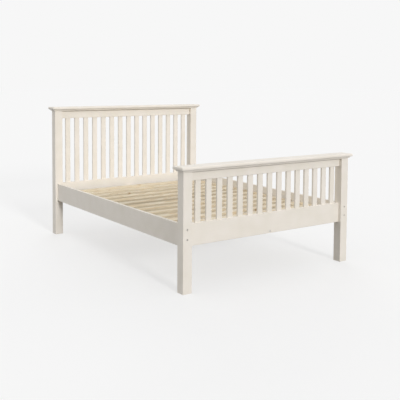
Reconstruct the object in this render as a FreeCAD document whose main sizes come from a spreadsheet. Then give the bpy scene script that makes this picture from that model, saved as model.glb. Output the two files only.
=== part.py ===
import FreeCAD, Part
import os
import re
import Sketcher

# Double bed frame in painted wood: a slatted head end and foot end, each a glued panel with a
# moulded cap, and two side rails bolted between them that carry a screwed-down slatted deck.
# Frame: X across the bed, Y along it with the head end at +Y, Z up. The origin is on the floor
# under the middle of the bed. Millimetres.

doc = FreeCAD.newDocument("BedFrame")

# Driving sizes. Lengths are in millimetres, and names that end in Count are numbers of pieces.
driving = {
    # Outside sizes over the posts
    "overWidth": 1457,
    "overLength": 2051,
    "postSize": 67,
    "footPostHigh": 770,
    "headPostHigh": 1061,
    "postRound": 2.5,
    # Rails across the bed, let into the posts
    "railThick": 27,
    "railSetBack": 25,
    "railArris": 1.5,
    "lowerRailBottom": 295,
    "lowerRailHigh": 143,
    "footTopRailHigh": 61,
    "headTopRailHigh": 66,
    "tenonThick": 13,
    "tenonLong": 28,
    "tenonShoulder": 9,
    "jointGap": 0.15,
    # Upright slats, stub-tenoned into the rails
    "slatCount": 15,
    "slatWide": 42,
    "slatThick": 15,
    "slatArris": 1.2,
    "stubWide": 32,
    "stubThick": 8,
    "stubLong": 10,
    # Cap boards with a rounded nose over a cove
    "capHigh": 32,
    "capOverhang": 23,
    "noseTopRound": 8,
    "noseUnderRound": 4,
    "coveHigh": 13,
    "coveOut": 18,
    "coveRadius": 11,
    "capDowelSize": 10,
    "capDowelLong": 40,
    "capRailDowelCount": 3,
    # Side rails, bolted through the posts
    "sideThick": 22,
    "sideHigh": 143,
    "sideBottom": 291,
    "sideArris": 1.5,
    "boltInset": 31,
    "boltLowHigh": 343,
    "boltSpacing": 63,
    "boltSize": 6,
    "boltLong": 100,
    "boltHeadSize": 10,
    "boltHeadHigh": 6,
    "boltKeySize": 5,
    "boltKeyDeep": 3.5,
    "boltGap": 0.5,
    "boltEndRoom": 5,
    "recessSize": 12,
    "recessDeep": 10,
    "nutSize": 10,
    "nutLong": 14,
    "nutInset": 33,
    "nutDrop": 0.8,
    "fitGap": 0.1,
    "sideDowelSize": 10,
    "sideDowelLong": 40,
    # Ledgers and the slatted deck
    "ledgerWide": 25,
    "ledgerHigh": 30,
    "ledgerNutRoom": 12,
    "deckDrop": 75,
    "bedSlatCount": 13,
    "bedSlatWide": 70,
    "bedSlatThick": 18,
    "bedSlatArris": 1.5,
    "bedSlatEndGap": 3,
    # Centre rail on its blocks and its leg
    "centreWide": 34,
    "centreHigh": 60,
    "centreArris": 1.5,
    "centreEndGap": 0.3,
    "blockWide": 60,
    "blockDeep": 36,
    "blockBoltHigh": 13,
    "blockArris": 1.5,
    "blockBoltReach": 18,
    "blockRecessDeep": 7,
    "insertSize": 10,
    "insertLong": 15,
    "legSize": 40,
    "legArris": 2.5,
    "studSize": 8,
    "studRailLong": 35,
    "studLegLong": 40,
    "glideSize": 30,
    "glideHigh": 5,
    "glidePinSize": 5,
    "glidePinLong": 15,
    # One overrun for cuts that go right through
    "overrun": 5,
}

# Hidden round pieces and their holes repeat many times, so they are drawn with this many flats
roundFlatCount = 12
keyFlatCount = 6

sheet = doc.addObject("Spreadsheet::Sheet", "Sizes")
for row, (name, value) in enumerate(driving.items(), start=1):
    sheet.set(f"A{row}", name)
    sheet.set(f"B{row}", str(value))
    sheet.setAlias(f"B{row}", name)
doc.recompute()

# Places and sizes worked out from the driving ones
postX = "(overWidth - postSize) / 2"
postY = "(overLength - postSize) / 2"
railShift = "(railSetBack + railThick / 2 - postSize / 2)"
railSpan = "(overWidth - 2 * postSize)"
sideLong = "(overLength - 2 * postSize)"
slatGap = f"(({railSpan} - slatCount * slatWide) / (slatCount + 1))"
slatPitch = f"(slatWide + {slatGap})"
firstSlatX = f"({slatGap} + slatWide / 2 - {railSpan} / 2)"
lowerRailTop = "(lowerRailBottom + lowerRailHigh)"
sideX = "(overWidth / 2 - boltInset)"
ledgerTop = "(sideBottom + sideHigh - deckDrop)"
ledgerX = f"({sideX} - sideThick / 2 - ledgerWide / 2)"
bedSlatPitch = f"(({sideLong} - bedSlatCount * bedSlatWide) / (bedSlatCount + 1) + bedSlatWide)"
firstBedSlatY = f"(-(bedSlatCount - 1) / 2 * {bedSlatPitch})"
blockHigh = "(2 * blockBoltHigh)"
centreBottom = f"({ledgerTop} - centreHigh)"
dowelHigh = "(boltLowHigh + boltSpacing / 2)"

alongX = FreeCAD.Vector(1, 0, 0)
alongY = FreeCAD.Vector(0, 1, 0)
alongZ = FreeCAD.Vector(0, 0, 1)

holeChecks = []
pieces = []


def linked(formula):
    """The formula with each driving size turned into its cell of the sheet."""
    return re.sub(r"[A-Za-z]\w*", lambda m: "Sizes." + m[0] if m[0] in driving else m[0], formula)


def bind(thing, setting, formula):
    thing.setExpression(setting, linked(formula))


def sheetValue(formula):
    """What a formula of driving sizes comes to now."""
    return float(sheet.evalExpression(linked(formula)))


def origin(body, role):
    return next(item for item in body.Origin.OriginFeatures if item.Role == role)


def newBody(label, x="0", y="0", z="0"):
    body = doc.addObject("PartDesign::Body", label)
    body.Label = label
    for axis, place in zip("xyz", (x, y, z)):
        bind(body, f"Placement.Base.{axis}", place)
    pieces.append(body)
    return body


def newSketch(body, name, role, place):
    """An empty sketch on an origin plane: place is along its own two axes and its normal."""
    sketch = body.newObject("Sketcher::SketchObject", name)
    sketch.AttachmentSupport = (origin(body, role), [""])
    sketch.MapMode = "FlatFace"
    for axis, offset in zip("xyz", place):
        bind(sketch, f"AttachmentOffset.Base.{axis}", offset)
    return sketch


def addSize(sketch, name, constraint, formula):
    index = sketch.addConstraint(constraint)
    sketch.renameConstraint(index, name)
    bind(sketch, f"Constraints.{name}", formula)


def rectangle(body, name, role, wide, high, place=("0", "0", "0")):
    sketch = newSketch(body, name, role, place)
    wideNow, highNow = sheetValue(wide), sheetValue(high)
    corners = [
        FreeCAD.Vector(x * wideNow / 2, y * highNow / 2, 0)
        for x, y in ((-1, -1), (1, -1), (1, 1), (-1, 1))
    ]
    for start, end in zip(corners, corners[1:] + corners[:1]):
        sketch.addGeometry(Part.LineSegment(start, end), False)
    for side in range(4):
        sketch.addConstraint(Sketcher.Constraint("Coincident", side, 2, (side + 1) % 4, 1))
        sketch.addConstraint(Sketcher.Constraint("Vertical" if side % 2 else "Horizontal", side))
    sketch.addConstraint(Sketcher.Constraint("Symmetric", 0, 1, 1, 2, -1, 1))
    addSize(sketch, "wide", Sketcher.Constraint("DistanceX", 0, 1, 0, 2, wideNow), wide)
    addSize(sketch, "high", Sketcher.Constraint("DistanceY", 1, 1, 1, 2, highNow), high)
    return sketch


def circle(body, name, role, size, place=("0", "0", "0")):
    sketch = newSketch(body, name, role, place)
    sizeNow = sheetValue(size)
    sketch.addGeometry(Part.Circle(FreeCAD.Vector(), alongZ, sizeNow / 2), False)
    sketch.addConstraint(Sketcher.Constraint("Coincident", 0, 3, -1, 1))
    addSize(sketch, "size", Sketcher.Constraint("Diameter", 0, sizeNow), size)
    return sketch


def flats(body, name, role, size, place=("0", "0", "0"), count=roundFlatCount):
    """A regular outline of flats, with size measured across them and one corner straight up."""
    sketch = newSketch(body, name, role, place)
    across = f"({size}) / cos(180 / {count})"
    corners = [FreeCAD.Vector(0, sheetValue(across) / 2, 0)]
    turn = FreeCAD.Rotation(alongZ, 360 / count)
    for _ in range(count - 1):
        corners.append(turn.multVec(corners[-1]))
    for start, end in zip(corners, corners[1:] + corners[:1]):
        sketch.addGeometry(Part.LineSegment(start, end), False)
    guide = sketch.addGeometry(Part.Circle(FreeCAD.Vector(), alongZ, corners[0].y), True)
    sketch.addConstraint(Sketcher.Constraint("Coincident", guide, 3, -1, 1))
    sketch.addConstraint(Sketcher.Constraint("PointOnObject", 0, 1, -2))
    for side in range(count):
        sketch.addConstraint(Sketcher.Constraint("Coincident", side, 2, (side + 1) % count, 1))
        sketch.addConstraint(Sketcher.Constraint("PointOnObject", side, 1, guide))
        if side:
            sketch.addConstraint(Sketcher.Constraint("Equal", 0, side))
    addSize(sketch, "across", Sketcher.Constraint("Diameter", guide, 2 * corners[0].y), across)
    return sketch


def solidFeature(kind, body, name, sketch, length, reverse):
    feature = body.newObject(f"PartDesign::{kind}", name)
    feature.Profile = sketch
    feature.Reversed = reverse
    bind(feature, "Length", length)
    sketch.Visibility = False
    return feature


def pad(body, name, sketch, length, reverse=False):
    return solidFeature("Pad", body, name, sketch, length, reverse)


def pocket(body, name, sketch, depth, reverse=False):
    """Cuts away from the sketch's normal, or along it when reversed."""
    feature = solidFeature("Pocket", body, name, sketch, depth, reverse)
    holeChecks.append(feature)
    return feature


def rows(body, name, features, axis, step, count):
    """Repeats features along an axis, or the whole body when none are given."""
    feature = body.newObject("PartDesign::LinearPattern", name)
    if features:
        feature.Originals = features
    else:
        feature.TransformMode = "Whole shape"
    feature.Direction = (origin(body, axis), [""])
    feature.Mode = "Spacing"
    bind(feature, "Offset", step)
    bind(feature, "Occurrences", count)
    body.Tip = feature
    return feature


def mirrored(body, name, role):
    feature = body.newObject("PartDesign::Mirrored", name)
    feature.TransformMode = "Whole shape"
    feature.MirrorPlane = (origin(body, role), [""])
    body.Tip = feature
    return feature


def easeEdges(kind, body, name, feature, size, wanted):
    """Fillets or chamfers the edges of a feature that wanted says yes to."""
    doc.recompute()
    edges = [f"Edge{i}" for i, edge in enumerate(feature.Shape.Edges, start=1) if wanted(edge)]
    eased = body.newObject(f"PartDesign::{kind}", name)
    eased.Base = (feature, edges)
    bind(eased, "Radius" if kind == "Fillet" else "Size", size)
    return eased


def runsAlong(axis):
    return lambda edge: abs(edge.tangentAt(edge.FirstParameter).dot(axis)) > 0.999


def liesAt(height):
    """Yes to the edges that lie level, at a height given by a formula."""
    level = sheetValue(height)
    nearly = sheetValue("fitGap")
    return lambda edge: abs(edge.BoundBox.ZMin - level) + abs(edge.BoundBox.ZMax - level) < nearly


def makePost(label, side, end, high, topRailBottom, topRailHigh):
    """A post: side is -1 on the left, end is -1 at the foot. Its origin is under its middle."""
    body = newBody(label, f"{side} * {postX}", f"{end} * {postY}")
    stock = pad(body, "stock", rectangle(body, "section", "XY_Plane", "postSize", "postSize"), high)
    easeEdges("Fillet", body, "arrises", stock, "postRound", runsAlong(alongZ))

    # Mortises for the two rails, in the face that looks across the bed
    inward = f"{-side} * postSize / 2"
    for name, bottom, railHigh in (
        ("lowerMortise", "lowerRailBottom", "lowerRailHigh"),
        ("topMortise", topRailBottom, topRailHigh),
    ):
        mouth = rectangle(
            body, name + "Mouth", "YZ_Plane",
            "tenonThick + 2 * jointGap", f"{railHigh} - 2 * tenonShoulder + 2 * jointGap",
            (railShift, f"{bottom} + {railHigh} / 2", inward))
        pocket(body, name, mouth, "tenonLong + jointGap", reverse=side > 0)

    # Two bolt holes with a recess for the head, from the end of the bed
    boltX = f"{side} * (postSize / 2 - boltInset)"
    outer = f"{-end} * postSize / 2"
    boltPlace = (boltX, "boltLowHigh", outer)
    shank = flats(body, "boltMouth", "XZ_Plane", "boltSize + 2 * boltGap", boltPlace)
    shankHole = pocket(body, "boltHole", shank, "postSize + overrun", reverse=end > 0)
    recess = circle(body, "recessMouth", "XZ_Plane", "recessSize", boltPlace)
    recessHole = pocket(body, "recess", recess, "recessDeep", reverse=end > 0)
    rows(body, "boltHoles", [shankHole, recessHole], "Z_Axis", "boltSpacing", "2")

    # A dowel hole towards the side rail and one up under the cap
    inner = f"{end} * postSize / 2"
    dowelPlace = (boltX, dowelHigh, inner)
    dowel = flats(body, "dowelMouth", "XZ_Plane", "sideDowelSize + 2 * fitGap", dowelPlace)
    pocket(body, "dowelHole", dowel, "sideDowelLong / 2 + fitGap", reverse=end < 0)
    capDowel = flats(body, "capDowelMouth", "XY_Plane", "capDowelSize + 2 * fitGap", ("0", "0", high))
    pocket(body, "capDowelHole", capDowel, "capDowelLong / 2 + fitGap")


def makeCrossRail(label, end, bottom, high, slatsAbove, extra):
    """A rail across the bed with a tenon at each end and a row of mortises for the slats."""
    body = newBody(label, "0", f"{end} * {postY} + {railShift}", bottom)
    middle = f"{high} / 2"
    sectionPlace = ("0", middle, f"-{railSpan} / 2")
    section = rectangle(body, "section", "YZ_Plane", "railThick", high, sectionPlace)
    stock = pad(body, "stock", section, railSpan)
    easeEdges("Chamfer", body, "arrises", stock, "railArris", runsAlong(alongX))
    tenonSection = rectangle(
        body, "tenonSection", "YZ_Plane", "tenonThick", f"{high} - 2 * tenonShoulder",
        ("0", middle, f"-{railSpan} / 2 - tenonLong"))
    pad(body, "tenons", tenonSection, f"{railSpan} + 2 * tenonLong")
    slatFace = high if slatsAbove else "0"
    mouth = rectangle(
        body, "slatMouth", "XY_Plane", "stubWide + 2 * jointGap", "stubThick + 2 * jointGap",
        (firstSlatX, "0", slatFace))
    mortise = pocket(body, "slatMortise", mouth, "stubLong + jointGap", reverse=not slatsAbove)
    rows(body, "slatMortises", [mortise], "X_Axis", slatPitch, "slatCount")
    extra(body, end, high)


def drillForBlock(body, end, high):
    """The bolt hole of the centre rail's block, with its recess in the outer face."""
    outer = f"{-end} * railThick / 2"
    place = ("0", "blockBoltHigh", outer)
    shank = flats(body, "blockBoltMouth", "XZ_Plane", "boltSize + 2 * boltGap", place)
    pocket(body, "blockBoltHole", shank, "railThick + overrun", reverse=end > 0)
    recess = circle(body, "blockRecessMouth", "XZ_Plane", "recessSize", place)
    pocket(body, "blockRecess", recess, "blockRecessDeep", reverse=end > 0)


def drillForCap(body, end, high):
    """The dowel holes up into the cap, spread along the rail."""
    pitch = f"{railSpan} / capRailDowelCount"
    place = (f"-{pitch}", "0", high)
    mouth = flats(body, "capDowelMouth", "XY_Plane", "capDowelSize + 2 * fitGap", place)
    hole = pocket(body, "capDowelHole", mouth, "capDowelLong / 2 + fitGap")
    rows(body, "capDowelHoles", [hole], "X_Axis", pitch, "capRailDowelCount")


def makeSlats(panel, end, top):
    """The row of upright slats between a lower rail and a top rail."""
    high = f"({top} - {lowerRailTop})"
    for index in range(driving["slatCount"]):
        x = f"{firstSlatX} + {index} * {slatPitch}"
        y = f"{end} * {postY} + {railShift}"
        body = newBody(f"{panel}_slat_{index + 1:02d}", x, y, lowerRailTop)
        section = rectangle(body, "section", "XY_Plane", "slatWide", "slatThick")
        stock = pad(body, "stock", section, high)
        easeEdges("Chamfer", body, "arrises", stock, "slatArris", runsAlong(alongZ))
        place = ("0", "0", "-stubLong")
        stub = rectangle(body, "stubSection", "XY_Plane", "stubWide", "stubThick", place)
        pad(body, "stubs", stub, f"{high} + 2 * stubLong")


def makeCap(label, end, high):
    """A cap board: a rounded nose above, a cove below, both returned round the two ends."""
    body = newBody(label, "0", f"{end} * {postY}", high)
    board = rectangle(
        body, "boardOutline", "XY_Plane",
        "overWidth + 2 * capOverhang", "postSize + 2 * capOverhang", ("0", "0", "coveHigh"))
    stock = pad(body, "board", board, "capHigh - coveHigh")
    nose = easeEdges("Fillet", body, "noseTop", stock, "noseTopRound", liesAt("capHigh"))
    easeEdges("Fillet", body, "noseUnder", nose, "noseUnderRound", liesAt("coveHigh"))
    bed = rectangle(body, "bedOutline", "XY_Plane", "overWidth + 2 * coveOut", "postSize + 2 * coveOut")
    pad(body, "bedMould", bed, "coveHigh")
    for name, role, halfWide, halfLong, isAcross in (
        ("long", "YZ_Plane", "postSize / 2 + coveOut", "overWidth / 2 + coveOut + overrun", True),
        ("end", "XZ_Plane", "overWidth / 2 + coveOut", "postSize / 2 + coveOut + overrun", False),
    ):
        for way in (-1, 1):
            start = f"{1 if isAcross else -1} * ({halfLong})"
            place = (f"{way} * ({halfWide})", "0", start)
            cutter = circle(body, f"{name}Cove{way + 1}Section", role, "2 * coveRadius", place)
            pocket(body, f"{name}Cove{way + 1}", cutter, f"2 * ({halfLong})", reverse=not isAcross)
    for name, firstX, y, step, count in (
        ("postDowel", f"-{postX}", "0", f"2 * {postX}", "2"),
        ("railDowel", f"-{railSpan} / capRailDowelCount", railShift,
         f"{railSpan} / capRailDowelCount", "capRailDowelCount"),
    ):
        mouth = flats(body, name + "Mouth", "XY_Plane", "capDowelSize + 2 * fitGap", (firstX, y, "0"))
        hole = pocket(body, name + "Hole", mouth, "capDowelLong / 2 + fitGap", reverse=True)
        rows(body, name + "Holes", [hole], "X_Axis", step, count)


def makeCapDowels():
    body = newBody("cap_dowels")
    for end, high in ((-1, "footPostHigh"), (1, "headPostHigh")):
        for name, firstX, y, step, count in (
            ("post", f"-{postX}", f"{end} * {postY}", f"2 * {postX}", "2"),
            ("rail", f"-{railSpan} / capRailDowelCount", f"{end} * {postY} + {railShift}",
             f"{railSpan} / capRailDowelCount", "capRailDowelCount"),
        ):
            place = (firstX, y, f"{high} - capDowelLong / 2")
            section = flats(body, f"{name}Section{end + 1}", "XY_Plane", "capDowelSize", place)
            dowel = pad(body, f"{name}Dowel{end + 1}", section, "capDowelLong")
            rows(body, f"{name}Dowels{end + 1}", [dowel], "X_Axis", step, count)


def makeSideRail(label, side):
    body = newBody(label, f"{side} * {sideX}", "0", "sideBottom")
    section = rectangle(
        body, "section", "XZ_Plane", "sideThick", "sideHigh", ("0", "sideHigh / 2", f"-{sideLong} / 2"))
    stock = pad(body, "stock", section, sideLong)
    easeEdges("Chamfer", body, "arrises", stock, "sideArris", runsAlong(alongY))
    lowBolt = "boltLowHigh - sideBottom"
    boltDeep = "boltLong + recessDeep - postSize + boltEndRoom"
    for end in (-1, 1):
        face = f"{-end} * {sideLong} / 2"
        boltPlace = ("0", lowBolt, face)
        bolt = flats(body, f"boltMouth{end + 1}", "XZ_Plane", "boltSize + 2 * boltGap", boltPlace)
        hole = pocket(body, f"boltHole{end + 1}", bolt, boltDeep, reverse=end > 0)
        rows(body, f"boltHoles{end + 1}", [hole], "Z_Axis", "boltSpacing", "2")
        dowelPlace = ("0", f"{dowelHigh} - sideBottom", face)
        mouth = flats(body, f"dowelMouth{end + 1}", "XZ_Plane", "sideDowelSize + 2 * fitGap", dowelPlace)
        pocket(body, f"dowelHole{end + 1}", mouth, "sideDowelLong / 2 + fitGap", reverse=end > 0)

    # Cross holes for the barrel nuts, in the inner face
    inner = f"{-side} * sideThick / 2"
    for level, boltHigh in (("Low", lowBolt), ("High", f"{lowBolt} + boltSpacing")):
        nutPlace = (f"nutInset - {sideLong} / 2", boltHigh, inner)
        nut = flats(body, f"nutMouth{level}", "YZ_Plane", "nutSize + 2 * fitGap", nutPlace)
        nutHole = pocket(body, f"nutHole{level}", nut, "nutLong + nutDrop + fitGap", reverse=side > 0)
        rows(body, f"nutHoles{level}", [nutHole], "Y_Axis", f"{sideLong} - 2 * nutInset", "2")


def makeLedger(label, side):
    body = newBody(label, f"{side} * {ledgerX}", "0", f"{ledgerTop} - ledgerHigh")
    # It stops short of the barrel nuts, so that they can be reached
    ledgerLong = f"({sideLong} - 2 * (nutInset + nutSize / 2 + ledgerNutRoom))"
    place = ("0", "ledgerHigh / 2", f"-{ledgerLong} / 2")
    section = rectangle(body, "section", "XZ_Plane", "ledgerWide", "ledgerHigh", place)
    stock = pad(body, "stock", section, ledgerLong)
    easeEdges("Chamfer", body, "arrises", stock, "sideArris", runsAlong(alongY))


def makeBedSlats():
    """The deck: equal boards across the ledgers and the centre rail."""
    body = newBody("bed_slats", "0", "0", ledgerTop)
    long = f"2 * ({sideX} - sideThick / 2 - bedSlatEndGap)"
    board = rectangle(body, "boardOutline", "XY_Plane", long, "bedSlatWide", ("0", firstBedSlatY, "0"))
    stock = pad(body, "board", board, "bedSlatThick")
    easeEdges("Chamfer", body, "arrises", stock, "bedSlatArris", runsAlong(alongX))
    rows(body, "boards", [], "Y_Axis", bedSlatPitch, "bedSlatCount")


def makeRailBolts():
    body = newBody("rail_bolts")
    seat = "(overLength / 2 - recessDeep)"
    place = (f"-{sideX}", "boltLowHigh")
    head = flats(body, "headSection", "XZ_Plane", "boltHeadSize", (*place, seat))
    pad(body, "head", head, "boltHeadHigh")
    shank = flats(body, "shankSection", "XZ_Plane", "boltSize", (*place, f"{seat} - boltLong"))
    pad(body, "shank", shank, "boltLong")
    headTop = (*place, f"{seat} + boltHeadHigh")
    key = flats(body, "keySection", "XZ_Plane", "boltKeySize", headTop, keyFlatCount)
    pocket(body, "keySocket", key, "boltKeyDeep")
    rows(body, "pair", [], "Z_Axis", "boltSpacing", "2")
    rows(body, "bothSides", [], "X_Axis", f"2 * {sideX}", "2")
    mirrored(body, "bothEnds", "XZ_Plane")


def makeBarrelNuts():
    body = newBody("barrel_nuts")
    nutY = f"({sideLong} / 2 - nutInset)"
    start = f"-({sideX} - sideThick / 2 + nutDrop)"
    place = (f"-{nutY}", "boltLowHigh", f"{start} - nutLong")
    pad(body, "barrel", flats(body, "section", "YZ_Plane", "nutSize", place), "nutLong")
    place = (f"-{sideX}", "boltLowHigh", f"{nutY} + nutSize")
    thread = flats(body, "threadMouth", "XZ_Plane", "boltSize + 2 * fitGap", place)
    pocket(body, "thread", thread, "2 * nutSize")
    rows(body, "pair", [], "Z_Axis", "boltSpacing", "2")
    rows(body, "bothEnds", [], "Y_Axis", f"2 * {nutY}", "2")
    mirrored(body, "bothSides", "YZ_Plane")


def makeRailDowels():
    body = newBody("rail_dowels")
    place = (f"-{sideX}", dowelHigh, f"{sideLong} / 2 - sideDowelLong / 2")
    pad(body, "dowel", flats(body, "section", "XZ_Plane", "sideDowelSize", place), "sideDowelLong")
    rows(body, "bothSides", [], "X_Axis", f"2 * {sideX}", "2")
    rows(body, "bothEnds", [], "Y_Axis", sideLong, "2")


def makeBlock(label, end):
    """A bearer block against a lower rail, which carries one end of the centre rail."""
    y = f"{end} * ({postY} - railThick / 2 - blockDeep / 2) + {railShift}"
    body = newBody(label, "0", y, "lowerRailBottom")
    section = rectangle(body, "section", "XY_Plane", "blockWide", "blockDeep")
    stock = pad(body, "stock", section, blockHigh)
    easeEdges("Chamfer", body, "arrises", stock, "blockArris", runsAlong(alongZ))
    place = ("0", "blockBoltHigh", f"{-end} * blockDeep / 2")
    insert = flats(body, "insertMouth", "XZ_Plane", "insertSize + 2 * fitGap", place)
    pocket(body, "insertHole", insert, "insertLong + fitGap", reverse=end > 0)
    bolt = flats(body, "boltMouth", "XZ_Plane", "boltSize + 2 * boltGap", place)
    pocket(body, "boltHole", bolt, "blockBoltReach + boltEndRoom", reverse=end > 0)


def makeBlockBolts():
    body = newBody("block_bolts", "0", railShift, "lowerRailBottom + blockBoltHigh")
    seat = f"({postY} + railThick / 2 - blockRecessDeep)"
    long = "(railThick - blockRecessDeep + blockBoltReach)"
    head = flats(body, "headSection", "XZ_Plane", "boltHeadSize", ("0", "0", seat))
    pad(body, "head", head, "boltHeadHigh")
    shank = flats(body, "shankSection", "XZ_Plane", "boltSize", ("0", "0", f"{seat} - {long}"))
    pad(body, "shank", shank, long)
    headTop = ("0", "0", f"{seat} + boltHeadHigh")
    key = flats(body, "keySection", "XZ_Plane", "boltKeySize", headTop, keyFlatCount)
    pocket(body, "keySocket", key, "boltKeyDeep")
    mirrored(body, "bothEnds", "XZ_Plane")


def makeBlockInserts():
    body = newBody("block_inserts", "0", railShift, "lowerRailBottom + blockBoltHigh")
    start = f"({postY} - railThick / 2)"
    sleeve = flats(body, "section", "XZ_Plane", "insertSize", ("0", "0", f"{start} - insertLong"))
    pad(body, "sleeve", sleeve, "insertLong")
    place = ("0", "0", f"{start} + overrun")
    thread = flats(body, "threadMouth", "XZ_Plane", "boltSize + 2 * fitGap", place)
    pocket(body, "thread", thread, "insertLong + 2 * overrun")
    mirrored(body, "bothEnds", "XZ_Plane")


def makeCentreRail():
    """The rail under the middle of the deck, notched at both ends over the bearer blocks."""
    body = newBody("centre_rail", "0", railShift, centreBottom)
    long = f"(2 * {postY} - railThick - 2 * centreEndGap)"
    place = ("0", "centreHigh / 2", f"-{long} / 2")
    section = rectangle(body, "section", "XZ_Plane", "centreWide", "centreHigh", place)
    stock = pad(body, "stock", section, long)
    easeEdges("Chamfer", body, "arrises", stock, "centreArris", runsAlong(alongY))
    notchHigh = f"(lowerRailBottom + {blockHigh} - {centreBottom})"
    notchDeep = "(blockDeep + centreEndGap)"
    for end in (-1, 1):
        notch = rectangle(
            body, f"notchSection{end + 1}", "YZ_Plane", f"2 * {notchDeep}", f"2 * {notchHigh}",
            (f"{end} * {long} / 2", "0", "centreWide / 2 + overrun"))
        pocket(body, f"notch{end + 1}", notch, "centreWide + 2 * overrun")
    stud = flats(body, "studMouth", "XY_Plane", "studSize + 2 * fitGap", ("0", f"-{railShift}", "0"))
    pocket(body, "studHole", stud, "studRailLong + fitGap", reverse=True)


def makeCentreLeg():
    body = newBody("centre_leg", "0", "0", "glideHigh")
    long = f"({centreBottom} - glideHigh)"
    stock = pad(body, "stock", rectangle(body, "section", "XY_Plane", "legSize", "legSize"), long)
    easeEdges("Chamfer", body, "arrises", stock, "legArris", runsAlong(alongZ))
    stud = flats(body, "studMouth", "XY_Plane", "studSize + 2 * fitGap", ("0", "0", long))
    pocket(body, "studHole", stud, "studLegLong + fitGap")
    pin = flats(body, "pinMouth", "XY_Plane", "glidePinSize + 2 * fitGap")
    pocket(body, "pinHole", pin, "glidePinLong + fitGap", reverse=True)


def makeLegStud():
    body = newBody("leg_stud", "0", "0", f"{centreBottom} - studLegLong")
    pad(body, "stud", flats(body, "section", "XY_Plane", "studSize"), "studLegLong + studRailLong")


def makeLegGlide():
    body = newBody("leg_glide")
    pad(body, "disc", circle(body, "discSection", "XY_Plane", "glideSize"), "glideHigh")
    pad(body, "pin", flats(body, "pinSection", "XY_Plane", "glidePinSize"), "glideHigh + glidePinLong")


for end, endName, high, topRailHigh in (
    (-1, "foot", "footPostHigh", "footTopRailHigh"),
    (1, "head", "headPostHigh", "headTopRailHigh"),
):
    topRailBottom = f"({high} - {topRailHigh})"
    makePost(f"{endName}_post_left", -1, end, high, topRailBottom, topRailHigh)
    makePost(f"{endName}_post_right", 1, end, high, topRailBottom, topRailHigh)
    makeCrossRail(f"{endName}_lower_rail", end, "lowerRailBottom", "lowerRailHigh", True, drillForBlock)
    makeCrossRail(f"{endName}_top_rail", end, topRailBottom, topRailHigh, False, drillForCap)
    makeSlats(endName, end, topRailBottom)
    makeCap(f"{endName}_cap", end, high)
    makeBlock(f"centre_block_{endName}", end)
for side, sideName in ((-1, "left"), (1, "right")):
    makeSideRail(f"side_rail_{sideName}", side)
    makeLedger(f"ledger_{sideName}", side)
makeCapDowels()
makeBedSlats()
makeRailBolts()
makeBarrelNuts()
makeRailDowels()
makeBlockBolts()
makeBlockInserts()
makeCentreRail()
makeCentreLeg()
makeLegStud()
makeLegGlide()
doc.recompute()

# Nothing is written unless every object and every piece is sound
for thing in doc.Objects:
    if "Invalid" in thing.State or "Error" in thing.State:
        raise RuntimeError(f"{thing.Label} of {thing.Name} did not recompute: {thing.State}")
for hole in holeChecks:
    before = hole.BaseFeature.Shape.Volume
    if hole.Shape.Volume >= before:
        raise RuntimeError(f"{hole.Name} cuts nothing")
for piece in pieces:
    if piece.Shape.isNull() or not piece.Shape.isValid():
        raise RuntimeError(f"{piece.Label} has no sound shape")

os.makedirs("parts", exist_ok=True)
for piece in pieces:
    piece.Shape.exportStep(f"parts/{piece.Label}.step")
print(len(pieces), "pieces written")
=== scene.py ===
import bmesh
import bpy
import math
from mathutils import Matrix, Vector


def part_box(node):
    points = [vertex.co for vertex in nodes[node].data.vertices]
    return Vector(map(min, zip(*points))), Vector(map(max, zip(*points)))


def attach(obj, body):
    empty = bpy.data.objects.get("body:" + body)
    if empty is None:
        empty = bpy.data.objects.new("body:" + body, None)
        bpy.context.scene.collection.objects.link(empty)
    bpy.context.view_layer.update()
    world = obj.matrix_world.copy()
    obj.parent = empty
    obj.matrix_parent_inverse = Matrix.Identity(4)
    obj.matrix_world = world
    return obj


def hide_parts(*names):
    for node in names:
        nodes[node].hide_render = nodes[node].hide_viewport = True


# Looks of a painted double bed frame. Metres, on the CAD frame: X across the bed, Y towards the
# head end, Z up, with the floor at zero.

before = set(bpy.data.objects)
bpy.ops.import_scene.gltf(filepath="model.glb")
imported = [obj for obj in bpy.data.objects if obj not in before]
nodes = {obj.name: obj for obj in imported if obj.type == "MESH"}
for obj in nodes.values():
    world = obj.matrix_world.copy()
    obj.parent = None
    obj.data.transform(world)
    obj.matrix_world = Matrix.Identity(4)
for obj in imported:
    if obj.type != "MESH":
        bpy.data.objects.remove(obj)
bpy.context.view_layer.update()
print("frame loaded:", len(nodes), "nodes")

mm = 0.001
tiny = 0.001 * mm  # closer than this is the same point


def linearColour(code):
    # sRGB hex to the linear values that shaders take
    parts = [int(code[i:i + 2], 16) / 255 for i in (1, 3, 5)]
    return [p / 12.92 if p <= 0.04045 else ((p + 0.055) / 1.055) ** 2.4 for p in parts] + [1.0]


def addNode(tree, kind, inputs, **settings):
    # Adds one node. Settings are its own options. Inputs are values, sockets to link from, or
    # nodes to link from by their first output
    node = tree.nodes.new(kind)
    for name, value in settings.items():
        setattr(node, name, value)
    for name, value in inputs.items():
        if isinstance(value, bpy.types.Node):
            value = value.outputs[0]
        if isinstance(value, bpy.types.NodeSocket):
            tree.links.new(value, node.inputs[name])
        else:
            node.inputs[name].default_value = value
    return node


def emptyMaterial(name):
    # A node material with nothing in it yet
    material = bpy.data.materials.new(name)
    material.use_nodes = True
    material.node_tree.nodes.clear()
    return material, material.node_tree


def grainSpace(tree, along):
    # Object coordinates, plain and turned so that X runs along the grain and Y and Z across it
    place = addNode(tree, "ShaderNodeTexCoord", {}).outputs["Object"]
    split = addNode(tree, "ShaderNodeSeparateXYZ", {0: place}).outputs
    order = {"X": (0, 1, 2), "Y": (1, 0, 2), "Z": (2, 0, 1)}[along]
    grain = addNode(tree, "ShaderNodeCombineXYZ", {i: split[axis] for i, axis in enumerate(order)})
    return place, grain


noiseLow, noiseHigh = 0.3, 0.7  # a noise pattern mostly keeps between these

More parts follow.
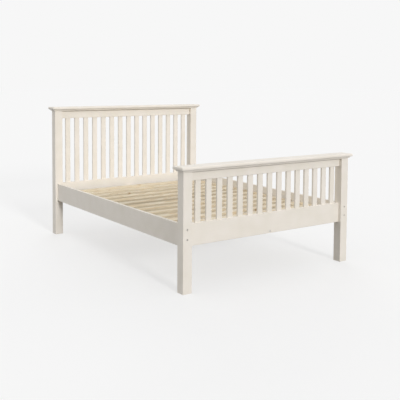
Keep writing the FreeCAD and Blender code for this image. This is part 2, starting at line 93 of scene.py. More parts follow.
# Satin cream lacquer sprayed on planed softwood: an even, faintly warm coat with a soft sheen. It
# shows the wood's grain only as very low ridges, and pools a little differently on each stick.
paint = {
    "cream": "#ECE5DB",
    "creamDeep": "#E7E0D4",
    "grainShade": "#DBD2C4",
    "cloudSize": 240 * mm,  # soft tone drift along a stick
    "stickSize": 78 * mm,  # about one slat and its gap, so neighbours differ a little
    "driftFrom": 0.70,  # sum of both drifts that is still the plain cream
    "driftTo": 1.35,  # and the sum that is the deep one
    "grainWide": 5 * mm,  # real grain is 1 to 2 mm: drawn coarser, so that it shows at all
    "grainStretch": 0.035,
    "grainFrom": 0.52,  # streaks weaker than this stay unseen
    "grainTo": 0.75,
    "grainTint": 0.16,
    "grainHigh": 0.30 * mm,
    "peelSize": 3.5 * mm,  # orange peel of a sprayed coat
    "peelHigh": 0.09 * mm,
    "roughLow": 0.34,
    "roughHigh": 0.46,
    "coat": 0.12,
    "coatRough": 0.28,
}


def makePaint(along):
    material, tree = emptyMaterial(f"satinCreamLacquer{along}")
    place, grain = grainSpace(tree, along)
    cloud = addNode(tree, "ShaderNodeTexNoise", {
        "Vector": place, "Scale": 1 / paint["cloudSize"], "Detail": 3.0, "Roughness": 0.55})
    stick = addNode(tree, "ShaderNodeTexNoise", {
        "Vector": place, "Scale": 1 / paint["stickSize"], "Detail": 0.0})
    drift = addNode(tree, "ShaderNodeMath", {0: cloud, 1: stick}, operation="ADD")
    deepness = addNode(tree, "ShaderNodeMapRange", {
        "Value": drift, "From Min": paint["driftFrom"], "From Max": paint["driftTo"]})
    cream = addNode(tree, "ShaderNodeMix", {
        0: deepness, 6: linearColour(paint["cream"]), 7: linearColour(paint["creamDeep"])},
        data_type="RGBA")
    stretched = addNode(tree, "ShaderNodeMapping", {
        "Vector": grain, "Scale": (paint["grainStretch"], 1.0, 1.0)})
    streak = addNode(tree, "ShaderNodeTexNoise", {
        "Vector": stretched, "Scale": 1 / paint["grainWide"], "Detail": 4.0, "Roughness": 0.6,
        "Distortion": 0.4})
    streakShown = addNode(tree, "ShaderNodeMapRange", {
        "Value": streak, "From Min": paint["grainFrom"], "From Max": paint["grainTo"],
        "To Max": paint["grainTint"]})
    colour = addNode(tree, "ShaderNodeMix", {
        0: streakShown, 6: cream.outputs[2], 7: linearColour(paint["grainShade"])},
        data_type="RGBA")
    rough = addNode(tree, "ShaderNodeMapRange", {
        "Value": cloud, "From Min": noiseLow, "From Max": noiseHigh,
        "To Min": paint["roughLow"], "To Max": paint["roughHigh"]})
    peel = addNode(tree, "ShaderNodeTexNoise", {
        "Vector": place, "Scale": 1 / paint["peelSize"], "Detail": 2.0})
    peelBump = addNode(tree, "ShaderNodeBump", {
        "Height": peel, "Distance": paint["peelHigh"], "Strength": 1.0})
    grainBump = addNode(tree, "ShaderNodeBump", {
        "Height": streak, "Distance": paint["grainHigh"], "Strength": 1.0, "Normal": peelBump})
    surface = addNode(tree, "ShaderNodeBsdfPrincipled", {
        "Base Color": colour.outputs[2], "Roughness": rough, "Normal": grainBump,
        "Coat Weight": paint["coat"], "Coat Roughness": paint["coatRough"]})
    addNode(tree, "ShaderNodeOutputMaterial", {"Surface": surface})
    return material


# Planed pine without a finish: pale sapwood with tan growth rings, sharp on their late side, fine
# fibre along the board and a few knots. Rings are solid, so they turn into arcs on the board ends.
pine = {
    "early": "#EADDC4",
    "late": "#D8C098",
    "knotEdge": "#B8905F",
    "knotHeart": "#94683F",
    "ringWide": 4.5 * mm,  # slow pine has 2 to 3 mm rings: drawn wider, so that they show
    "earlyUntil": 0.45,  # shares of a ring: pale until here, darkest here, and pale again
    "lateAt": 0.90,
    "lateUntil": 0.985,
    "boardPitch": 142 * mm,  # of the deck, so that each of its boards is cut from another log
    "logMiddle": (0.5, 0.5, 1.1),  # keeps the log's heart below the boards
    "logSpread": (1600 * mm, 80 * mm, 80 * mm),  # how far apart in their logs the boards were cut
    "logLean": 0.028,  # slope of the log's heart along a board, which draws the long arches
    "waver": 88 * mm,  # the noise swings a quarter of this either way
    "waverSize": 1400 * mm,
    "waverSquash": 3.0,  # shorter across the log than along it
    "ringDrift": 8 * mm,  # wet and dry years, which space the rings unevenly
    "ringDriftSize": 16 * mm,
    "fibreWide": 1.6 * mm,  # real bundles of fibre are about 0.3 mm: drawn coarser, to show
    "fibreStretch": 0.02,
    "fibreHigh": 0.08 * mm,
    "fibreDark": 0.93,
    "fibrePale": 1.05,
    "boardDark": 0.94,
    "boardPale": 1.05,
    "knotSpacing": 520 * mm,  # along a board
    "knotStretch": 0.42,  # spacing across the board, as a share of that along it
    "knotThrough": 0.25,  # draws each knot out through the board
    "knotSize": 0.040,  # a knot's radius, as a share of the spacing the same way
    "knotEdgeEnds": 1.3,  # shares of that radius: the edge has faded out here,
    "knotHeartEnds": 0.9,  # the heart here,
    "knotHeartFull": 0.45,  # and the heart has its full colour inside this
    "knotReach": 0.28,  # how far the rings bend round a knot, as a share of the spacing,
    "knotBend": 14 * mm,  # and how much they bend beside it
    "roughEarly": 0.68,
    "roughLate": 0.56,
}


def pineLog(tree, grain):
    # Where a point lies in the log that its board is cut from, with that board's own chance
    across = addNode(tree, "ShaderNodeSeparateXYZ", {0: grain}).outputs[1]
    board = addNode(tree, "ShaderNodeMath", {
        0: across, 1: 1 / pine["boardPitch"]}, operation="MULTIPLY")
    number = addNode(tree, "ShaderNodeMath", {0: board}, operation="ROUND")
    chance = addNode(tree, "ShaderNodeTexWhiteNoise", {"W": number}, noise_dimensions="1D")
    centred = addNode(tree, "ShaderNodeVectorMath", {
        0: chance.outputs["Color"], 1: pine["logMiddle"]}, operation="SUBTRACT")
    shift = addNode(tree, "ShaderNodeVectorMath", {
        0: centred, 1: pine["logSpread"]}, operation="MULTIPLY")
    middle = addNode(tree, "ShaderNodeMath", {
        0: number, 1: pine["boardPitch"]}, operation="MULTIPLY")
    boardPlace = addNode(tree, "ShaderNodeCombineXYZ", {1: middle})
    local = addNode(tree, "ShaderNodeVectorMath", {0: grain, 1: boardPlace}, operation="SUBTRACT")
    logPlace = addNode(tree, "ShaderNodeVectorMath", {0: local, 1: shift}, operation="SUBTRACT")
    return logPlace, chance


def pineRings(tree, grain, logPlace, chance, knot):
    # How far through its year's ring a point lies, on a heart that leans and wavers along the
    # board, with rings that bend round the knots
    squash = pine["waverSquash"]
    slow = addNode(tree, "ShaderNodeMapping", {
        "Vector": logPlace, "Scale": (1.0, squash, squash)})
    waver = addNode(tree, "ShaderNodeTexNoise", {
        "Vector": slow, "Scale": 1 / pine["waverSize"], "Detail": 2.0})
    centred = addNode(tree, "ShaderNodeVectorMath", {
        0: waver.outputs["Color"], 1: (0.5, 0.5, 0.5)}, operation="SUBTRACT")
    wavering = addNode(tree, "ShaderNodeVectorMath", {
        0: centred, 1: (0.0, pine["waver"], pine["waver"])}, operation="MULTIPLY")
    slope = addNode(tree, "ShaderNodeMapRange", {
        "Value": chance.outputs["Value"], "To Min": -pine["logLean"], "To Max": pine["logLean"]})
    along = addNode(tree, "ShaderNodeSeparateXYZ", {0: grain})
    rise = addNode(tree, "ShaderNodeMath", {0: along, 1: slope}, operation="MULTIPLY")
    lean = addNode(tree, "ShaderNodeCombineXYZ", {2: rise})
    leaning = addNode(tree, "ShaderNodeVectorMath", {0: logPlace, 1: lean}, operation="ADD")
    warped = addNode(tree, "ShaderNodeVectorMath", {0: leaning, 1: wavering}, operation="ADD")
    flat = addNode(tree, "ShaderNodeVectorMath", {
        0: warped, 1: (0.0, 1.0, 1.0)}, operation="MULTIPLY")
    radius = addNode(tree, "ShaderNodeVectorMath", {0: flat}, operation="LENGTH")
    bend = addNode(tree, "ShaderNodeMapRange", {
        "Value": knot, "From Min": 0.0, "From Max": pine["knotReach"],
        "To Min": pine["knotBend"], "To Max": 0.0}, interpolation_type="SMOOTHSTEP")
    bent = addNode(tree, "ShaderNodeMath", {0: radius.outputs["Value"], 1: bend}, operation="ADD")
    years = addNode(tree, "ShaderNodeTexNoise", {
        "W": bent, "Scale": 1 / pine["ringDriftSize"], "Detail": 1.0}, noise_dimensions="1D")
    uneven = addNode(tree, "ShaderNodeMath", {
        0: years, 1: pine["ringDrift"], 2: bent}, operation="MULTIPLY_ADD")
    rings = addNode(tree, "ShaderNodeMath", {
        0: uneven, 1: 1 / pine["ringWide"]}, operation="MULTIPLY")
    return addNode(tree, "ShaderNodeMath", {0: rings}, operation="FRACT")


def makePine(along):
    material, tree = emptyMaterial(f"planedPine{along}")
    grain = grainSpace(tree, along)[1]
    logPlace, chance = pineLog(tree, grain)
    knotPlace = addNode(tree, "ShaderNodeVectorMath", {
        0: logPlace, 1: (pine["knotStretch"], 1.0, pine["knotThrough"])}, operation="MULTIPLY")
    knot = addNode(tree, "ShaderNodeTexVoronoi", {
        "Vector": knotPlace, "Scale": 1 / (pine["knotSpacing"] * pine["knotStretch"])})
    phase = pineRings(tree, grain, logPlace, chance, knot)
    ringColour = addNode(tree, "ShaderNodeValToRGB", {0: phase})
    early, late = linearColour(pine["early"]), linearColour(pine["late"])
    ramp = ringColour.color_ramp
    ramp.elements[0].color = early
    ramp.elements[1].position = pine["lateAt"]
    ramp.elements[1].color = late
    ramp.elements.new(pine["earlyUntil"]).color = early
    ramp.elements.new(pine["lateUntil"]).color = early

    stretched = addNode(tree, "ShaderNodeMapping", {
        "Vector": logPlace, "Scale": (pine["fibreStretch"], 1.0, 1.0)})
    fibre = addNode(tree, "ShaderNodeTexNoise", {
        "Vector": stretched, "Scale": 1 / pine["fibreWide"], "Detail": 3.0, "Roughness": 0.65})
    fibreTone = addNode(tree, "ShaderNodeMapRange", {
        "Value": fibre, "From Min": noiseLow, "From Max": noiseHigh,
        "To Min": pine["fibreDark"], "To Max": pine["fibrePale"]})
    boardTone = addNode(tree, "ShaderNodeMapRange", {
        "Value": chance.outputs["Value"], "To Min": pine["boardDark"], "To Max": pine["boardPale"]})
    tone = addNode(tree, "ShaderNodeMath", {0: fibreTone, 1: boardTone}, operation="MULTIPLY")
    wood = addNode(tree, "ShaderNodeVectorMath", {
        0: ringColour, "Scale": tone.outputs[0]}, operation="SCALE")

    size = pine["knotSize"]
    inKnot = addNode(tree, "ShaderNodeMapRange", {
        "Value": knot, "From Min": size, "From Max": size * pine["knotEdgeEnds"],
        "To Min": 1.0, "To Max": 0.0})
    inHeart = addNode(tree, "ShaderNodeMapRange", {
        "Value": knot, "From Min": size * pine["knotHeartFull"],
        "From Max": size * pine["knotHeartEnds"], "To Min": 1.0, "To Max": 0.0})
    knotted = addNode(tree, "ShaderNodeMix", {
        0: inKnot, 6: wood.outputs[0], 7: linearColour(pine["knotEdge"])}, data_type="RGBA")
    colour = addNode(tree, "ShaderNodeMix", {
        0: inHeart, 6: knotted.outputs[2], 7: linearColour(pine["knotHeart"])}, data_type="RGBA")
    rough = addNode(tree, "ShaderNodeMapRange", {
        "Value": phase, "To Min": pine["roughEarly"], "To Max": pine["roughLate"]})
    bump = addNode(tree, "ShaderNodeBump", {
        "Height": fibre, "Distance": pine["fibreHigh"], "Strength": 1.0})
    surface = addNode(tree, "ShaderNodeBsdfPrincipled", {
        "Base Color": colour.outputs[2], "Roughness": rough, "Normal": bump})
    addNode(tree, "ShaderNodeOutputMaterial", {"Surface": surface})
    return material


# Bright zinc plate on steel: a pale metal, clouded from the plating bath, which blurs what it shows
zinc = {
    "bright": "#E1E3E3",
    "dull": "#CDCECB",
    "cloudSize": 4 * mm,
    "roughLow": 0.26,
    "roughHigh": 0.42,
    "grit": 0.6 * mm,  # the plate's crystals are far finer: drawn coarser, to show
    "gritHigh": 0.02 * mm,
}


def makeZinc():
    material, tree = emptyMaterial("brightZincPlate")
    place = addNode(tree, "ShaderNodeTexCoord", {}).outputs["Object"]
    cloud = addNode(tree, "ShaderNodeTexNoise", {
        "Vector": place, "Scale": 1 / zinc["cloudSize"], "Detail": 3.0})
    colour = addNode(tree, "ShaderNodeMix", {
        0: cloud, 6: linearColour(zinc["bright"]), 7: linearColour(zinc["dull"])},
        data_type="RGBA")
    rough = addNode(tree, "ShaderNodeMapRange", {
        "Value": cloud, "From Min": noiseLow, "From Max": noiseHigh,
        "To Min": zinc["roughLow"], "To Max": zinc["roughHigh"]})
    grit = addNode(tree, "ShaderNodeTexNoise", {
        "Vector": place, "Scale": 1 / zinc["grit"], "Detail": 1.0})
    bump = addNode(tree, "ShaderNodeBump", {
        "Height": grit, "Distance": zinc["gritHigh"], "Strength": 1.0})
    surface = addNode(tree, "ShaderNodeBsdfPrincipled", {
        "Base Color": colour.outputs[2], "Roughness": rough, "Normal": bump, "Metallic": 1.0})
    addNode(tree, "ShaderNodeOutputMaterial", {"Surface": surface})
    return material


# Moulded brown nylon: dull, with the fine spark-eroded skin of its mould
nylon = {
    "brown": "#5A4738",
    "worn": "#6F5B4A",
    "skinGrain": 1.2 * mm,  # a mould's spark pits are about 0.1 mm: drawn coarser, to show
    "skinHigh": 0.05 * mm,
    "rubSize": 12 * mm,
    "rough": 0.55,
}


def makeNylon():
    material, tree = emptyMaterial("mouldedBrownNylon")
    place = addNode(tree, "ShaderNodeTexCoord", {}).outputs["Object"]
    skin = addNode(tree, "ShaderNodeTexNoise", {
        "Vector": place, "Scale": 1 / nylon["skinGrain"], "Detail": 2.0})
    rub = addNode(tree, "ShaderNodeTexNoise", {
        "Vector": place, "Scale": 1 / nylon["rubSize"], "Detail": 2.0})
    colour = addNode(tree, "ShaderNodeMix", {
        0: rub, 6: linearColour(nylon["brown"]), 7: linearColour(nylon["worn"])},
        data_type="RGBA")
    bump = addNode(tree, "ShaderNodeBump", {
        "Height": skin, "Distance": nylon["skinHigh"], "Strength": 1.0})
    surface = addNode(tree, "ShaderNodeBsdfPrincipled", {
        "Base Color": colour.outputs[2], "Roughness": nylon["rough"], "Normal": bump})
    addNode(tree, "ShaderNodeOutputMaterial", {"Surface": surface})
    return material


# Turned beech: a pink-tan wood, even in tone, with short dark flecks along it
beech = {
    "tan": "#D9BA90",
    "fleck": "#B08A5E",
    "fleckWide": 0.8 * mm,  # real flecks are about half as wide: drawn coarser, to show
    "fleckStretch": 0.15,
    "fleckFrom": 0.55,
    "fleckTo": 0.7,
    "rough": 0.6,
}


def makeBeech():
    material, tree = emptyMaterial("turnedBeech")
    place = addNode(tree, "ShaderNodeTexCoord", {}).outputs["Object"]
    stretched = addNode(tree, "ShaderNodeMapping", {
        "Vector": place, "Scale": (1.0, beech["fleckStretch"], beech["fleckStretch"])})
    fleck = addNode(tree, "ShaderNodeTexNoise", {
        "Vector": stretched, "Scale": 1 / beech["fleckWide"], "Detail": 2.0})
    marks = addNode(tree, "ShaderNodeMapRange", {
        "Value": fleck, "From Min": beech["fleckFrom"], "From Max": beech["fleckTo"]})
    colour = addNode(tree, "ShaderNodeMix", {
        0: marks, 6: linearColour(beech["tan"]), 7: linearColour(beech["fleck"])},
        data_type="RGBA")
    surface = addNode(tree, "ShaderNodeBsdfPrincipled", {
        "Base Color": colour.outputs[2], "Roughness": beech["rough"]})
    addNode(tree, "ShaderNodeOutputMaterial", {"Surface": surface})
    return material


paintX, paintY, paintZ = (makePaint(along) for along in "XYZ")
pineX, pineY, pineZ = (makePine(along) for along in "XYZ")
zincPlate, brownNylon, beechWood = makeZinc(), makeNylon(), makeBeech()
print("materials made")


def finishOf(name):
    # Which finish a CAD node takes, with its grain along its own length
    if name in ("ledger_left", "ledger_right", "centre_rail"):
        return pineY
    if name in ("bed_slats", "centre_block_foot", "centre_block_head"):
        return pineX
    if name == "centre_leg":
        return pineZ
    if name.endswith("dowels"):
        return beechWood
    if name == "leg_glide":
        return brownNylon
    if name.startswith("side_rail"):
        return paintY
    if name.endswith("cap") or name.endswith("rail"):
        return paintX
    if "post" in name or "slat" in name:
        return paintZ
    return zincPlate


for name, node in nodes.items():
    node.data.materials.clear()
    node.data.materials.append(finishOf(name))
print("finishes put on")


def lathe(shape, outline, steps):
    # Spins a line of (radius, height) points round Z; gives the ring that the first point draws
    points = [shape.verts.new((radius, 0, height)) for radius, height in outline]
    lines = [shape.edges.new(pair) for pair in zip(points, points[1:])]
    bmesh.ops.spin(shape, geom=points + lines, cent=(0, 0, 0), axis=(0, 0, 1),
                   angle=2 * math.pi, steps=steps, use_merge=True)
    bmesh.ops.remove_doubles(shape, verts=shape.verts, dist=tiny)
    radius, height = outline[0]
    return [line for line in shape.edges if line.is_boundary and all(
        abs(v.co.z - height) < tiny and abs(v.co.xy.length - radius) < tiny for v in line.verts)]


def drive(shape, ring, corners, cuts, depth, taper=1.0):
    # Sinks a driver's recess into a head. The outline through the corners has its sides cut, to
    # have as many points as the ring. It is bridged to the ring and drawn down to a floor
    height = ring[0].verts[0].co.z
    points = [shape.verts.new((x, y, height)) for x, y in corners]
    sides = [shape.edges.new((points[i - 1], points[i])) for i in range(len(points))]
    mouth = []
    for first, count in enumerate(cuts):
        alike = sides[first::len(cuts)]
        split = bmesh.ops.subdivide_edges(shape, edges=alike, cuts=count)["geom_split"]
        mouth += [part for part in split if isinstance(part, bmesh.types.BMEdge)]
    bmesh.ops.bridge_loops(shape, edges=ring + mouth)
    walls = bmesh.ops.extrude_edge_only(shape, edges=mouth)["geom"]
    low = [part for part in walls if isinstance(part, bmesh.types.BMVert)]
    rim = [part for part in walls if isinstance(part, bmesh.types.BMEdge)]
    bmesh.ops.scale(shape, vec=(taper, taper, 1), verts=low)
    bmesh.ops.translate(shape, vec=(0, 0, -depth), verts=low)
    bmesh.ops.contextual_create(shape, geom=rim)


frameFlats = 12  # sides of the frame's round solids, whose corners stand out past their radius


def reachOf(radius):
    # How far the corners of such a solid stand from its axis
    return radius / math.cos(math.pi / frameFlats)


def drawnIn(name, inset):
    # The lowest and highest corner of a CAD node's box, drawn in by so much along X, Y and Z
    low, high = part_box(name)
    return low + Vector(inset), high - Vector(inset)


def middleOf(name):
    # The middle of a CAD node's box
    low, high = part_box(name)
    return (low + high) / 2


def spotAt(place, facing, turn):
    # A template's place: its Z along facing, turned round it by so many degrees
    aim = Vector(facing).to_track_quat("Z", "Y").to_matrix().to_4x4()
    return Matrix.Translation(place) @ aim @ Matrix.Rotation(math.radians(turn), 4, "Z")


sharpFrom = 32  # degrees: edges of turned and pressed parts that are sharper than this stay crisp


def setOut(template, spots, name, finish, replaced=None):
    # Puts a copy of the template at each spot, all in one piece that is new or replaces a CAD node
    bmesh.ops.recalc_face_normals(template, faces=template.faces)
    single = bpy.data.meshes.new(name + "Single")
    template.to_mesh(single)
    template.free()
    joined = bmesh.new()
    for spot in spots:
        start = len(joined.verts)
        joined.from_mesh(single)
        joined.verts.ensure_lookup_table()
        bmesh.ops.transform(joined, matrix=spot, verts=joined.verts[start:])
    mesh = bpy.data.meshes.new(name)
    joined.to_mesh(mesh)
    joined.free()
    bpy.data.meshes.remove(single)
    mesh.shade_smooth()
    mesh.set_sharp_from_angle(angle=math.radians(sharpFrom))
    mesh.materials.append(finish)
    piece = bpy.data.objects.new(name, mesh)
    bpy.context.scene.collection.objects.link(piece)
    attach(piece, "root")
    if replaced:
        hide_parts(replaced)


# Socket-head bolts, sunk in their counterbores: a plain machined head with a bevelled rim and a
# hexagon socket, which is the dark spot in its middle
bolt = {
    "headRadius": 5 * mm,
    "headHigh": 6 * mm,
    "rimBevel": 0.6 * mm,
    "socketMouth": 3.4 * mm,
    "socketRadius": 2.9 * mm,  # over the corners of a 5 mm key
    "socketSides": 6,
    "socketDeep": 3.5 * mm,
    "shankRadius": 3 * mm,
    "tipBevel": 0.8 * mm,
    "steps": 24,  # a multiple of the socket's sides
    "railLong": 100 * mm,
    "railTurn": 17,  # degrees that the first bolt is turned,
    "railNextTurn": 23,  # and that each is turned more than the one before
    "blockLong": 40 * mm,
    "blockTurns": (8, 41),  # at the foot end and at the head end
}


def boltShape(long):
    shape = bmesh.new()
    rim, top, bevel = bolt["headRadius"], bolt["headHigh"], bolt["rimBevel"]
    shank, tip = bolt["shankRadius"], bolt["tipBevel"]
    ring = lathe(shape, [
        (bolt["socketMouth"], top), (rim - bevel, top), (rim, top - bevel), (rim, 0),
        (shank, 0), (shank, tip - long), (shank - tip, -long), (0, -long)], bolt["steps"])
    sides = bolt["socketSides"]
    corners = [Vector((math.cos(a), math.sin(a))) * bolt["socketRadius"]
               for a in (math.radians(360 / sides * i) for i in range(sides))]
    drive(shape, ring, corners, [bolt["steps"] // sides - 1], bolt["socketDeep"])
    return shape


def boltSeats(name):
    # The corners of a CAD node's box, drawn in to where its bolts' axes pass their seats
    reach = reachOf(bolt["headRadius"])
    return drawnIn(name, (reach, bolt["headHigh"], reach))


def makeRailBolts():
    low, high = boltSeats("rail_bolts")
    spots = []
    for end, y in ((-1, low.y), (1, high.y)):
        for x in (low.x, high.x):
            for z in (low.z, high.z):
                turn = bolt["railTurn"] + bolt["railNextTurn"] * len(spots)
                spots.append(spotAt((x, y, z), (0, end, 0), turn))
    setOut(boltShape(bolt["railLong"]), spots, "socketRailBolts", zincPlate,
           "rail_bolts")


def makeBlockBolts():
    footSeat, headSeat = boltSeats("block_bolts")
    footTurn, headTurn = bolt["blockTurns"]
    spots = [spotAt(footSeat, (0, -1, 0), footTurn), spotAt(headSeat, (0, 1, 0), headTurn)]
    setOut(boltShape(bolt["blockLong"]), spots, "socketBlockBolts", zincPlate,
           "block_bolts")


makeRailBolts()
makeBlockBolts()


# Barrel nuts: turned pins whose visible end has a bevelled rim and a slot to line them up by
barrel = {
    "radius": 5 * mm,
    "long": 14 * mm,
    "bevel": 0.7 * mm,
    "slotMouth": 4.2 * mm,
    "slotLong": 7.4 * mm,
    "slotWide": 1.4 * mm,
    "slotDeep": 1.6 * mm,
    "slotCuts": (1, 9),  # points along each end and each side of the slot
    "steps": 24,
    "turns": (84, 91, 98, 105),  # degrees, over and over: near upright, as set by hand
}


def makeBarrelNuts():
    shape = bmesh.new()
    radius, bevel, long = barrel["radius"], barrel["bevel"], barrel["long"]
    ring = lathe(shape, [
        (barrel["slotMouth"], 0), (radius - bevel, 0), (radius, -bevel), (radius, bevel - long),
        (radius - bevel, -long), (0, -long)], barrel["steps"])
    x, y = barrel["slotLong"] / 2, barrel["slotWide"] / 2
    corners = [(x, y), (-x, y), (-x, -y), (x, -y)]
    drive(shape, ring, corners, barrel["slotCuts"], barrel["slotDeep"])
    reach = reachOf(radius)
    low, high = drawnIn("barrel_nuts", (long, reach, reach))
    spots = []
    for inward, x in ((1, low.x), (-1, high.x)):
        for y in (low.y, high.y):
            for z in (low.z, high.z):
                turn = barrel["turns"][len(spots) % len(barrel["turns"])]
                spots.append(spotAt((x, y, z), (inward, 0, 0), turn))
    setOut(shape, spots, "slottedBarrelNuts", zincPlate, "barrel_nuts")


makeBarrelNuts()
print("bolts and nuts made")


# Raised countersunk wood screws with a cross recess: their domes stand just proud of the pine
screw = {
    "headRadius": 4 * mm,
    "domeHigh": 1.1 * mm,
    "domeShoulder": 0.55,  # share of the dome's height at its shoulder ring
    "mouthRadius": 2.7 * mm,
    "shoulderRadius": 3.5 * mm,
    "coneDeep": 3 * mm,
    "shankRadius": 2 * mm,
    "shankDeep": 16 * mm,
    "crossHalf": 2.3 * mm,
    "crossWide": 1.1 * mm,
    "crossDeep": 1.9 * mm,
    "crossTaper": 0.6,
    "steps": 24,
    "boardWide": 70 * mm,  # of the deck, whose every board is screwed down at both ends and amid
    "boardCount": 13,
    "ledgerGaps": (1, 4, 7, 10),  # after which boards, from 0, a screw holds a ledger to its rail
    "deckTurn": 37,  # degrees that each screw is turned more than the one before
    "ledgerTurn": 29,
}


def screwShape():
    shape = bmesh.new()
    dome, cone = screw["domeHigh"], screw["coneDeep"]
    shank, deep = screw["shankRadius"], screw["shankDeep"]
    ring = lathe(shape, [
        (screw["mouthRadius"], dome), (screw["shoulderRadius"], dome * screw["domeShoulder"]),
        (screw["headRadius"], 0), (shank, -cone), (shank, -deep), (0, -deep - shank)],
        screw["steps"])
    half, arm = screw["crossWide"] / 2, screw["crossHalf"]
    quarter = [Vector((arm, -half)), Vector((arm, half)), Vector((half, half))]
    corners = [Matrix.Rotation(math.radians(90 * i), 2) @ corner
               for i in range(4) for corner in quarter]
    drive(shape, ring, corners, [1], screw["crossDeep"], screw["crossTaper"])
    return shape


def boardMiddles():
    # Where the middle of each board of the deck lies, from the foot end on
    low, high = drawnIn("bed_slats", (0, screw["boardWide"] / 2, 0))
    pitch = (high.y - low.y) / (screw["boardCount"] - 1)
    return [low.y + i * pitch for i in range(screw["boardCount"])]


def makeDeckScrews():
    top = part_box("bed_slats")[1].z
    spots = []
    for bearer in ("ledger_left", "centre_rail", "ledger_right"):
        for y in boardMiddles():
            place = (middleOf(bearer).x, y, top)
            spots.append(spotAt(place, (0, 0, 1), screw["deckTurn"] * len(spots)))
    setOut(screwShape(), spots, "deckScrews", zincPlate)


def makeLedgerScrews():
    leftFace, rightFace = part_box("ledger_left")[1].x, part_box("ledger_right")[0].x
    z = middleOf("ledger_left").z
    boards = boardMiddles()
    spots = []
    for inward, x in ((1, leftFace), (-1, rightFace)):
        for gap in screw["ledgerGaps"]:
            y = (boards[gap] + boards[gap + 1]) / 2
            spots.append(spotAt((x, y, z), (inward, 0, 0), screw["ledgerTurn"] * len(spots)))
    setOut(screwShape(), spots, "ledgerScrews", zincPlate)


makeDeckScrews()
makeLedgerScrews()
print("screws made")


# The leg's moulded glide: a round-edged foot with a pin up into the leg
glide = {
    "flange": 5 * mm,
    "edgeRound": 3 * mm,
    "edgeSteps": 5,
    "topBevel": 0.6 * mm,
    "pinRadius": 2.5 * mm,
    "steps": 40,
}


def makeGlide():
    shape = bmesh.new()
    low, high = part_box("leg_glide")
    radius, top = (high.x - low.x) / 2, high.z - low.z
    flange, bend = glide["flange"], glide["edgeRound"]
    bevel, pin = glide["topBevel"], glide["pinRadius"]
    edge = [(radius - bend + bend * math.sin(a), bend - bend * math.cos(a))
            for a in (math.pi / 2 * i / glide["edgeSteps"] for i in range(glide["edgeSteps"] + 1))]
    lathe(shape, [(0, 0)] + edge + [
        (radius, flange - bevel), (radius - bevel, flange), (pin, flange), (pin, top), (0, top)],
        glide["steps"])
    middle = middleOf("leg_glide")
    spot = spotAt((middle.x, middle.y, low.z), (0, 0, 1), 0)
    setOut(shape, [spot], "mouldedGlide", brownNylon, "leg_glide")


makeGlide()
print("glide made")


# The light: an even pale room, one soft, low key in front of the foot end, so that faces turned
# aside fall into a gentle shade, and two weak, wide fills that keep the cream from going grey there
light = {
    "background": "#F7F7F7",
    "room": 0.70,
    "lamps": {  # strength, where it comes from, and how wide it is in degrees
        "key": (0.52, (-0.07, -0.93, 0.28), 10),
        "backFill": (0.40, (0.52, 0.82, 0.22), 40),
        "leftFill": (0.12, (-0.95, 0.25, 0.15), 40),
    },
    "floorBounce": 0.20,
    "floorSeen": 0.42,  # how much of the lit floor shows, which sets how strong the shadow is
    "floorHalf": 60.0,
}


def seenRays(tree):
    # One for the rays that show the background as it is: those of the camera, gloss and glass
    path = addNode(tree, "ShaderNodeLightPath", {}).outputs
    either = addNode(tree, "ShaderNodeMath", {
        0: path["Is Camera Ray"], 1: path["Is Glossy Ray"]}, operation="MAXIMUM")
    return addNode(tree, "ShaderNodeMath", {
        0: either, 1: path["Is Transmission Ray"]}, operation="MAXIMUM")


def makeRoom():
    world = bpy.data.worlds.new("paleRoom")
    bpy.context.scene.world = world
    world.use_nodes = True
    tree = world.node_tree
    tree.nodes.clear()
    soft = addNode(tree, "ShaderNodeBackground", {
        "Color": (1.0, 1.0, 1.0, 1.0), "Strength": light["room"]})
    seen = addNode(tree, "ShaderNodeBackground", {
        "Color": linearColour(light["background"]), "Strength": 1.0})
    mix = addNode(tree, "ShaderNodeMixShader", {0: seenRays(tree), 1: soft, 2: seen})
    addNode(tree, "ShaderNodeOutputWorld", {"Surface": mix})


def makeLamps():
    for name, (strength, source, wide) in light["lamps"].items():
        sun = bpy.data.lights.new(name, "SUN")
        sun.energy = math.pi * strength
        sun.angle = math.radians(wide)
        lamp = bpy.data.objects.new(name, sun)
        lamp.rotation_mode = "QUATERNION"
        lamp.rotation_quaternion = Vector(source).to_track_quat("Z", "Y")
        lamp.visible_glossy = name == "key"  # a fill draws no shine of its own
        bpy.context.scene.collection.objects.link(lamp)


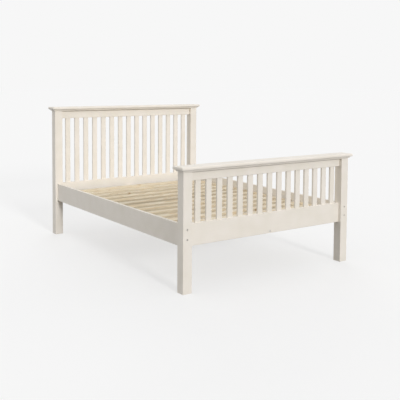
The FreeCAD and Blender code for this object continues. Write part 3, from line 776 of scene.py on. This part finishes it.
def makeFloor():
    mesh = bpy.data.meshes.new("floor")
    shape = bmesh.new()
    bmesh.ops.create_grid(shape, x_segments=1, y_segments=1, size=light["floorHalf"])
    shape.to_mesh(mesh)
    shape.free()
    floor = bpy.data.objects.new("floor", mesh)
    bpy.context.scene.collection.objects.link(floor)
    material, tree = emptyMaterial("matPaleFloor")
    # Away from the object the lit share and the plain share add up to the background's tone
    lamps = sum(strength * Vector(source).normalized().z
                for strength, source, wide in light["lamps"].values())
    share, bounce = light["floorSeen"], light["floorBounce"]
    rest = linearColour(light["background"])[0] - share * (light["room"] + lamps)
    shaded = addNode(tree, "ShaderNodeBsdfDiffuse", {"Color": (share, share, share, 1.0)})
    plain = addNode(tree, "ShaderNodeEmission", {
        "Color": (rest, rest, rest, 1.0), "Strength": 1.0})
    seen = addNode(tree, "ShaderNodeAddShader", {0: shaded, 1: plain})
    unseen = addNode(tree, "ShaderNodeBsdfDiffuse", {"Color": (bounce, bounce, bounce, 1.0)})
    mix = addNode(tree, "ShaderNodeMixShader", {0: seenRays(tree), 1: unseen, 2: seen})
    addNode(tree, "ShaderNodeOutputMaterial", {"Surface": mix})
    mesh.materials.append(material)


makeRoom()
makeLamps()
makeFloor()
print("light and floor made")


# The camera stands left of the foot end at chest height and looks along the bed to the right
view = {
    "place": (-3.0290, -4.5071, 1.3535),
    "heading": 35.443,  # degrees, from +Y towards +X
    "dip": 3.559,  # degrees below level
    "roll": 0.430,  # degrees that the camera leans to its left
    "focalPixels": 682.226,
    "middlePixels": (207.46, 120.0),  # where the line of sight meets the picture, from its top left
    "imagePixels": 400,
    "sensorWide": 36,
    "clipEnd": 200,
}


def makeCamera():
    data = bpy.data.cameras.new("camera")
    camera = bpy.data.objects.new("camera", data)
    bpy.context.scene.collection.objects.link(camera)
    heading, dip, roll = (math.radians(view[name]) for name in ("heading", "dip", "roll"))
    right = Vector((math.cos(heading), -math.sin(heading), 0))
    ahead = Vector((math.sin(heading) * math.cos(dip), math.cos(heading) * math.cos(dip),
                    -math.sin(dip)))
    up = right.cross(ahead)
    rolledRight = right * math.cos(roll) + up * math.sin(roll)
    rolledUp = up * math.cos(roll) - right * math.sin(roll)
    axes = Matrix((rolledRight, rolledUp, -ahead)).transposed().to_4x4()
    camera.matrix_world = Matrix.Translation(view["place"]) @ axes
    size = view["imagePixels"]
    middleX, middleY = view["middlePixels"]
    data.sensor_width = view["sensorWide"]
    data.lens = view["focalPixels"] / size * view["sensorWide"]
    data.shift_x = (size / 2 - middleX) / size
    data.shift_y = (middleY - size / 2) / size
    data.clip_end = view["clipEnd"]
    bpy.context.scene.camera = camera


makeCamera()
print("camera placed")

bpy.context.scene.view_settings.view_transform = "Standard"
